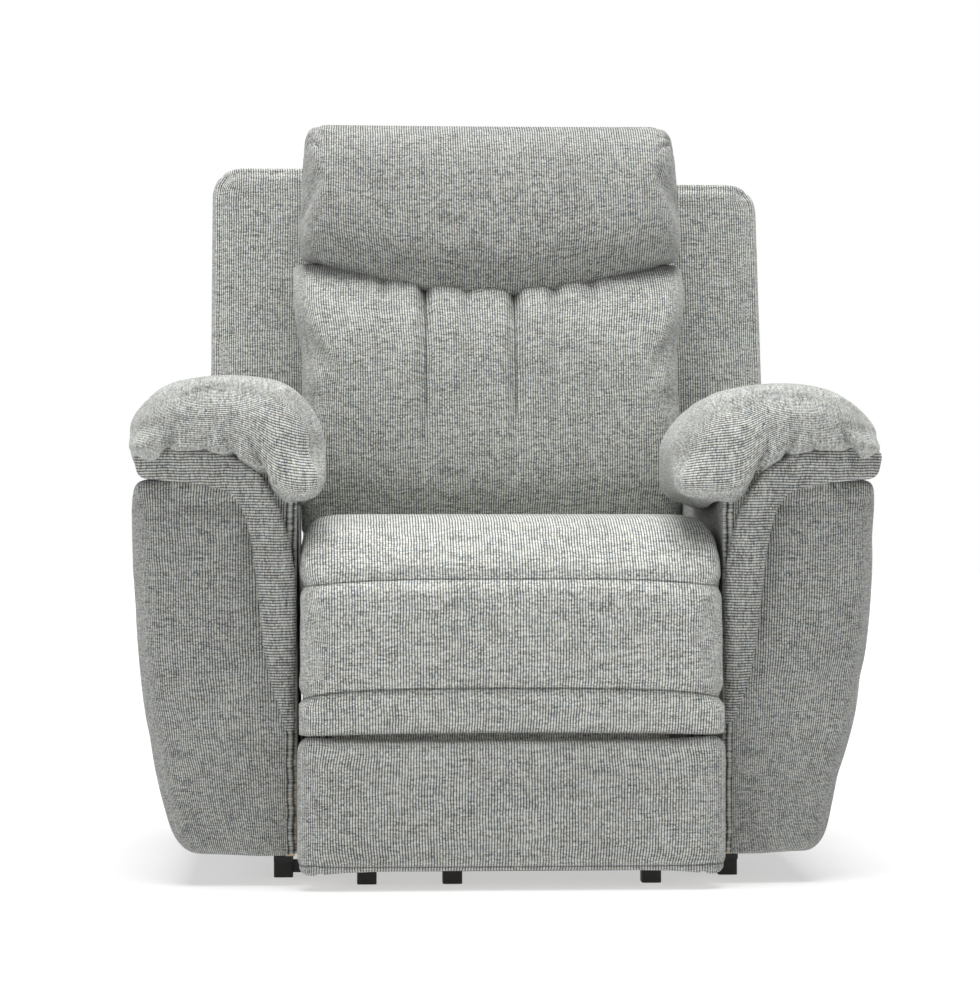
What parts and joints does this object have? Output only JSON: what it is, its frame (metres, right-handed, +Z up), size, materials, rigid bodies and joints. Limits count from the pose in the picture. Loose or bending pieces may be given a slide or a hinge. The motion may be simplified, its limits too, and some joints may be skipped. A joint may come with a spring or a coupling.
{
  "type": "recliner armchair",
  "caption": "Padded reclining armchair with pillow arms, winged back, head and lumbar cushions, and a footrest on a folding linkage.",
  "frame": {"origin": "on the floor, under the middle of the chair's box", "axes": "+Z up, -Y is the front, +X is to the right when facing the front of the chair"},
  "size_m": [0.992, 0.9561, 1.0614],
  "materials": {
    "upholstery": "ribbed chenille weave",
    "timber": "raw plywood and sawn timber",
    "frame_steel": "satin black powder coat",
    "link_steel": "satin black enamel",
    "spring_steel": "oiled bright wire",
    "foot_plastic": "moulded, matt",
    "handle_plastic": "fine grained",
    "cable_jacket": "smooth jacket"
  },
  "bodies": {
    "base": {"base_side_rail_left": "frame_steel", "base_side_rail_right": "frame_steel", "base_cross_bars": "frame_steel", "feet": "foot_plastic", "front_support_bar": "frame_steel", "base_plate_left": "frame_steel", "base_plate_right": "frame_steel", "glide_track_left": "spring_steel", "glide_track_right": "spring_steel", "rear_valance": "upholstery", "arm_inner_board_left": "timber", "arm_inner_board_right": "timber", "arm_front_board_left": "timber", "arm_front_board_right": "timber", "arm_rear_board_left": "timber", "arm_rear_board_right": "timber", "arm_top_board_left": "timber", "arm_top_board_right": "timber", "arm_side_pad_left": "upholstery", "arm_side_pad_right": "upholstery", "arm_front_pad_left": "upholstery", "arm_front_pad_right": "upholstery", "arm_top_pad_left": "upholstery", "arm_top_pad_right": "upholstery", "release_cup": "handle_plastic", "release_pin": "spring_steel", "release_cable": "cable_jacket"},
    "seat": {"seat_plate_left": "link_steel", "seat_plate_right": "link_steel", "seat_front_rail": "timber", "seat_rear_rail": "timber", "seat_side_rail_left": "timber", "seat_side_rail_right": "timber", "seat_front_board": "timber", "seat_springs": "spring_steel", "seat_cushion": "upholstery", "latch_bracket": "link_steel", "footrest_springs": "spring_steel"},
    "back": {"back_brackets": "link_steel", "back_frame_left": "timber", "back_frame_right": "timber", "back_frame_top": "timber", "back_frame_lower": "timber", "back_springs": "spring_steel", "back_rear_cover": "upholstery", "back_tail_panel": "upholstery", "wing_left": "upholstery", "wing_right": "upholstery", "lumbar_cushion": "upholstery", "head_cushion": "upholstery"},
    "ottoman_crank": {"crank_links": "link_steel", "crank_tube": "link_steel"},
    "ottoman_control": {"control_links": "link_steel"},
    "ottoman_cross": {"cross_links": "link_steel"},
    "ottoman_tie": {"tie_rods": "link_steel"},
    "footrest": {"footrest_brackets": "link_steel", "footrest_board": "timber", "footrest_cushion": "upholstery"},
    "handle": {"release_handle": "handle_plastic"},
    "latch": {"latch_hook": "link_steel"}
  },
  "joints": [
    {"name": "seat_glide", "type": "slide", "parent": "base", "child": "seat", "axis": [0, -1, 0], "range_m": [0, 0.03]},
    {"name": "back_recline", "type": "hinge", "parent": "seat", "child": "back", "pos_m": [0, 0.12, 0.385], "axis": [-1, 0, 0], "range_deg": [0, 32]},
    {"name": "footrest_fold", "type": "hinge", "parent": "seat", "child": "ottoman_crank", "pos_m": [0, -0.278, 0.244], "axis": [-1, 0, 0], "range_deg": [0, 88], "deforming": ["footrest_springs"]},
    {"name": "control_swing", "type": "hinge", "parent": "seat", "child": "ottoman_control", "pos_m": [0, -0.208, 0.244], "axis": [-1, 0, 0], "range_deg": [0, 88]},
    {"name": "cross_swing", "type": "hinge", "parent": "ottoman_crank", "child": "ottoman_cross", "pos_m": [0, -0.20195, 0.05578], "axis": [-1, 0, 0], "range_deg": [-88, 0]},
    {"name": "tie_swing", "type": "hinge", "parent": "ottoman_crank", "child": "ottoman_tie", "pos_m": [0, -0.21244, 0.08174], "axis": [-1, 0, 0], "range_deg": [-88, 0]},
    {"name": "footrest_turn", "type": "hinge", "parent": "ottoman_cross", "child": "footrest", "pos_m": [0, -0.378, 0.185], "axis": [-1, 0, 0], "range_deg": [0, 88]},
    {"name": "handle_pull", "type": "hinge", "parent": "base", "child": "handle", "pos_m": [0.4865, -0.202, 0.465], "axis": [0, 0, 1], "range_deg": [0, 28], "stiffness_Nm_per_rad": 0.6, "springref_deg": -11.46},
    {"name": "hook_lift", "type": "hinge", "parent": "seat", "child": "latch", "pos_m": [0.229, -0.26, 0.286], "axis": [-1, 0, 0], "range_deg": [0, 14]}
  ],
  "couplings": [
    {"joint": "seat_glide", "follows": "back_recline", "m_per_rad": 0.053714},
    {"joint": "control_swing", "follows": "footrest_fold", "ratio": 1},
    {"joint": "cross_swing", "follows": "footrest_fold", "ratio": -1},
    {"joint": "tie_swing", "follows": "footrest_fold", "ratio": -1},
    {"joint": "footrest_turn", "follows": "footrest_fold", "ratio": 1},
    {"joint": "hook_lift", "follows": "handle_pull", "ratio": 0.5}
  ]
}
